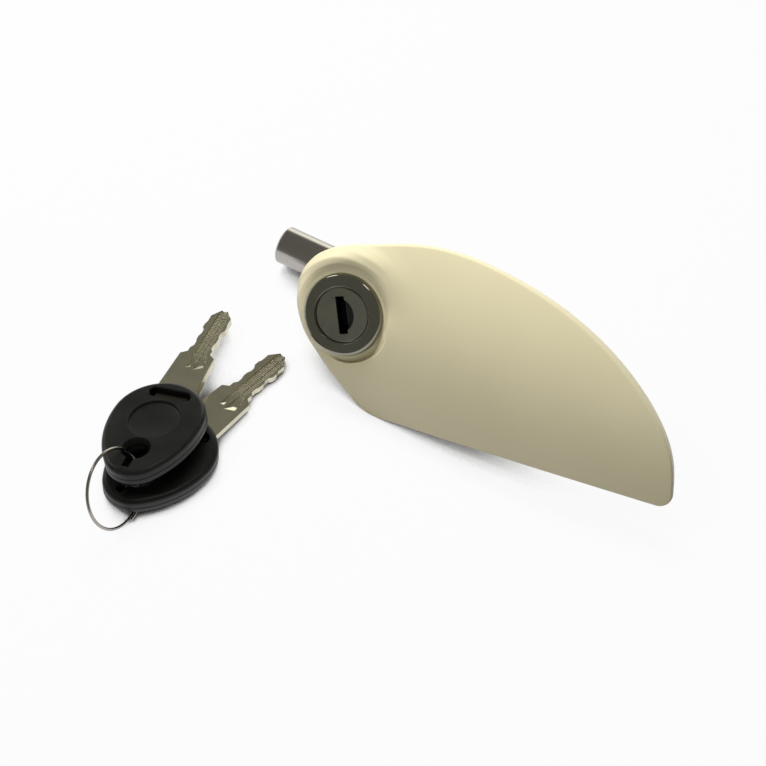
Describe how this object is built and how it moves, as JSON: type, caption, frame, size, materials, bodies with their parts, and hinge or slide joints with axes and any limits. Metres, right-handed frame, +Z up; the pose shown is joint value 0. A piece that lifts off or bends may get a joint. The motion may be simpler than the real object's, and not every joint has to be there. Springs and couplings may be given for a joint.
{
  "type": "keyed leaf handle lock",
  "caption": "Keyed leaf-shaped latch handle on a drive shaft: wafer plug in a chromed bezel turns a hooked cam; two keys with round-recessed black heads on a wire ring.",
  "frame": {"origin": "centre of the free end of the drive shaft", "axes": "+Z up from the table the lock lies on; the drive shaft points along -X and the tip of the leaf along +X; the barrel face looks towards -Y and up"},
  "size_m": [0.135, 0.111, 0.0438],
  "materials": {
    "ivory_moulding": "satin, fine mould grain",
    "shaft_steel": "drawn bar, lightly oiled",
    "pin_steel": "rolled spring sheet",
    "housing_metal": "turned, nickel plated",
    "bezel_chrome": "polished",
    "seal_rubber": "smooth",
    "spring_steel": "bright spring steel",
    "plug_brass": "turned and milled",
    "cap_steel": "satin",
    "guard_steel": "dark hardened steel",
    "wafer_brass": "stamped",
    "cam_steel": "zinc plated",
    "screw_steel": "zinc plated",
    "key_steel": "nickel silver, milled",
    "key_plastic": "satin black, fine grain",
    "ring_steel": "drawn wire"
  },
  "bodies": {
    "lock": {"leaf_handle": "ivory_moulding", "drive_shaft": "shaft_steel", "shaft_pin": "pin_steel", "barrel_housing": "housing_metal", "bezel_ring": "bezel_chrome", "barrel_seal": "seal_rubber", "barrel_clip": "spring_steel", "lower_key_blade": "key_steel", "lower_key_head": "key_plastic"},
    "plug": {"plug": "plug_brass", "plug_cap": "cap_steel", "keyway_guard": "guard_steel", "shutter_pin": "pin_steel", "shutter_spring": "spring_steel", "wafer_comb_spring": "spring_steel", "hook_cam": "cam_steel", "cam_washer": "screw_steel", "cam_screw": "screw_steel"},
    "dust_shutter": {"dust_shutter": "spring_steel"},
    "upper_key": {"upper_key_blade": "key_steel", "upper_key_head": "key_plastic"},
    "key_ring": {"key_ring": "ring_steel"},
    "wafer_1": {"wafer_1": "wafer_brass"},
    "wafer_2": {"wafer_2": "wafer_brass"},
    "wafer_3": {"wafer_3": "wafer_brass"},
    "wafer_4": {"wafer_4": "wafer_brass"},
    "wafer_5": {"wafer_5": "wafer_brass"},
    "wafer_6": {"wafer_6": "wafer_brass"}
  },
  "joints": [
    {"name": "plug_turn", "type": "hinge", "parent": "lock", "child": "plug", "pos_m": [0.0334, -0.02676, 0.01667], "axis": [0, -0.8271, 0.5621], "range_deg": [0, 90]},
    {"name": "shutter_swing", "type": "hinge", "parent": "plug", "child": "dust_shutter", "pos_m": [0.03615, -0.02347, 0.01617], "axis": [-0.4617, 0.4986, 0.7336], "range_deg": [-80, 0], "stiffness_Nm_per_rad": 0.0002},
    {"name": "wafer_1_slide", "type": "slide", "parent": "plug", "child": "wafer_1", "axis": [-0.4617, 0.4986, 0.7336], "range_m": [0, 0.0007]},
    {"name": "wafer_2_slide", "type": "slide", "parent": "plug", "child": "wafer_2", "axis": [0.4617, -0.4986, -0.7336], "range_m": [0, 0.0007]},
    {"name": "wafer_3_slide", "type": "slide", "parent": "plug", "child": "wafer_3", "axis": [-0.4617, 0.4986, 0.7336], "range_m": [0, 0.0007]},
    {"name": "wafer_4_slide", "type": "slide", "parent": "plug", "child": "wafer_4", "axis": [0.4617, -0.4986, -0.7336], "range_m": [0, 0.0007]},
    {"name": "wafer_5_slide", "type": "slide", "parent": "plug", "child": "wafer_5", "axis": [-0.4617, 0.4986, 0.7336], "range_m": [0, 0.0007]},
    {"name": "wafer_6_slide", "type": "slide", "parent": "plug", "child": "wafer_6", "axis": [0.4617, -0.4986, -0.7336], "range_m": [0, 0.0007]},
    {"name": "upper_key_swing", "type": "hinge", "parent": "lock", "child": "upper_key", "pos_m": [0.00812, -0.08297, 0.00399], "axis": [-0.1799, 0.0964, 0.979], "range_deg": [-10, 20]},
    {"name": "ring_turn", "type": "hinge", "parent": "lock", "child": "key_ring", "pos_m": [0.0081, -0.09303, 0.00205], "axis": [-0.9056, -0.1305, -0.4035], "continuous": true}
  ]
}
